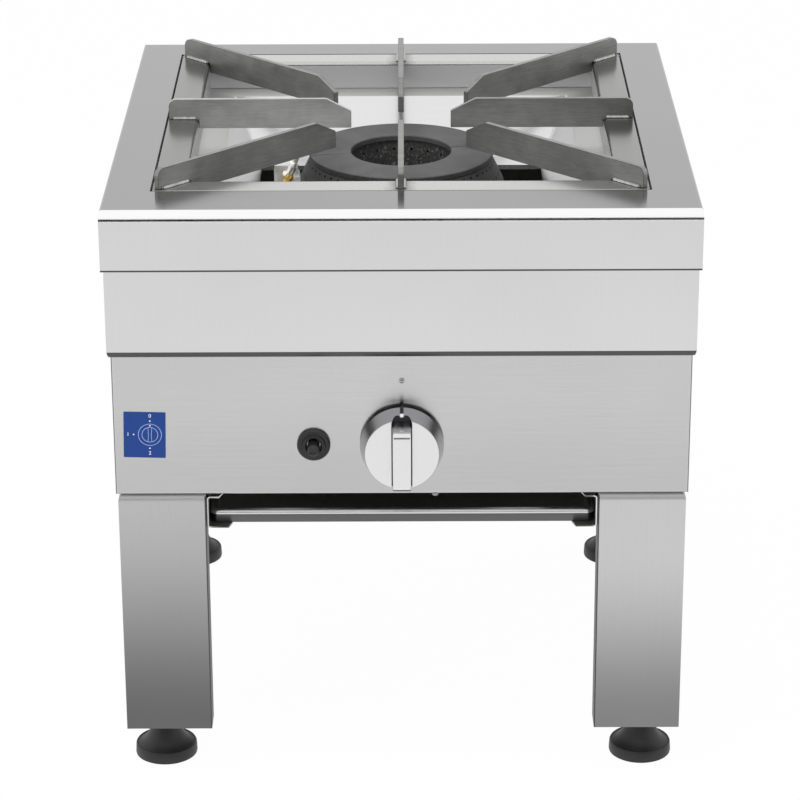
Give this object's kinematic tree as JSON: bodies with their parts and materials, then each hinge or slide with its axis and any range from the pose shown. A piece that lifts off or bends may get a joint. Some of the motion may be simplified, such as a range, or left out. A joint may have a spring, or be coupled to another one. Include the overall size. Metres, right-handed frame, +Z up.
{
  "type": "stock pot range",
  "caption": "Low stainless-steel gas range on legs: cast-iron ring burner under a lift-out bar support, drip tray on runners, push-and-turn tap and push-button igniter.",
  "frame": {"origin": "centre of the bounding box, on the floor under the feet", "axes": "+Z up, +X to the right and -Y towards the user, who faces the tap"},
  "size_m": [0.58, 0.675, 0.631],
  "materials": {
    "stainless": "brushed stainless steel sheet",
    "bar_steel": "dark brushed stainless steel bar",
    "cast_iron": "machined and as-cast iron, matt",
    "knob_metal": "satin and bright plated metal",
    "black_plastic": "moulded black plastic, satin",
    "brass": "turned brass",
    "copper_lead": "drawn copper capillary",
    "valve_alloy": "die-cast alloy",
    "ceramic": "white glazed ceramic",
    "plain_steel": "drawn steel",
    "lead_jacket": "black silicone jacket"
  },
  "bodies": {
    "casing": {"worktop": "stainless", "upper_casing": "stainless", "control_panel": "stainless", "back_panel": "stainless", "side_panel_left": "stainless", "side_panel_right": "stainless", "spill_pan": "stainless", "leg_front_left": "stainless", "leg_front_right": "stainless", "leg_rear_left": "stainless", "leg_rear_right": "stainless", "tray_runner_left": "stainless", "tray_runner_right": "stainless", "burner_rail_front": "stainless", "burner_rail_rear": "stainless", "index_stud": "stainless", "air_shutter": "stainless", "burner_cap_rear": "cast_iron", "burner_cap_front": "cast_iron", "burner_outer_ring": "cast_iron", "burner_inner_ring": "cast_iron", "burner_bowl": "cast_iron", "mixing_tube": "cast_iron", "igniter_body": "black_plastic", "igniter_nut": "black_plastic", "injector": "brass", "inlet_fitting": "brass", "sensor_nut": "brass", "sensor_lead": "copper_lead", "gas_valve": "valve_alloy", "pilot_bracket": "valve_alloy", "electrode_ceramic": "ceramic", "supply_pipe": "plain_steel", "inlet_pipe": "plain_steel", "electrode_rod": "plain_steel", "flame_sensor": "plain_steel", "ignition_lead": "lead_jacket"},
    "pot_support": {"pot_support_frame": "bar_steel", "pot_bar_right": "bar_steel", "pot_bar_rear_right": "bar_steel", "pot_bar_rear": "bar_steel", "pot_bar_rear_left": "bar_steel", "pot_bar_left": "bar_steel", "pot_bar_front_left": "bar_steel", "pot_bar_front": "bar_steel", "pot_bar_front_right": "bar_steel"},
    "drip_tray": {"drip_tray": "stainless"},
    "tap_collar": {"thrust_collar": "plain_steel"},
    "knob": {"spindle": "plain_steel", "knob_skirt": "knob_metal", "knob_grip": "knob_metal"},
    "igniter_button": {"igniter_button": "black_plastic"},
    "foot_front_left": {"foot_front_left": "black_plastic"},
    "foot_front_right": {"foot_front_right": "black_plastic"},
    "foot_rear_left": {"foot_rear_left": "black_plastic"},
    "foot_rear_right": {"foot_rear_right": "black_plastic"}
  },
  "joints": [
    {"name": "pot_support_lift", "type": "slide", "parent": "casing", "child": "pot_support", "axis": [0, 0, 1], "range_m": [0, 0.1]},
    {"name": "drip_tray_slide", "type": "slide", "parent": "casing", "child": "drip_tray", "axis": [0, -1, 0], "range_m": [0, 0.4]},
    {"name": "tap_push", "type": "slide", "parent": "casing", "child": "tap_collar", "axis": [0, 1, 0], "range_m": [0, 0.005], "stiffness_N_per_m": 600, "springref_m": -0.003},
    {"name": "knob_turn", "type": "hinge", "parent": "tap_collar", "child": "knob", "pos_m": [0, -0.3165, 0.366], "axis": [0, -1, 0], "range_deg": [0, 180]},
    {"name": "igniter_push", "type": "slide", "parent": "casing", "child": "igniter_button", "axis": [0, 1, 0], "range_m": [0, 0.008], "stiffness_N_per_m": 300, "springref_m": -0.003},
    {"name": "foot_front_left_level", "type": "slide", "parent": "casing", "child": "foot_front_left", "axis": [0, 0, -1], "range_m": [0, 0.02]},
    {"name": "foot_front_right_level", "type": "slide", "parent": "casing", "child": "foot_front_right", "axis": [0, 0, -1], "range_m": [0, 0.02]},
    {"name": "foot_rear_left_level", "type": "slide", "parent": "casing", "child": "foot_rear_left", "axis": [0, 0, -1], "range_m": [0, 0.02]},
    {"name": "foot_rear_right_level", "type": "slide", "parent": "casing", "child": "foot_rear_right", "axis": [0, 0, -1], "range_m": [0, 0.02]}
  ]
}
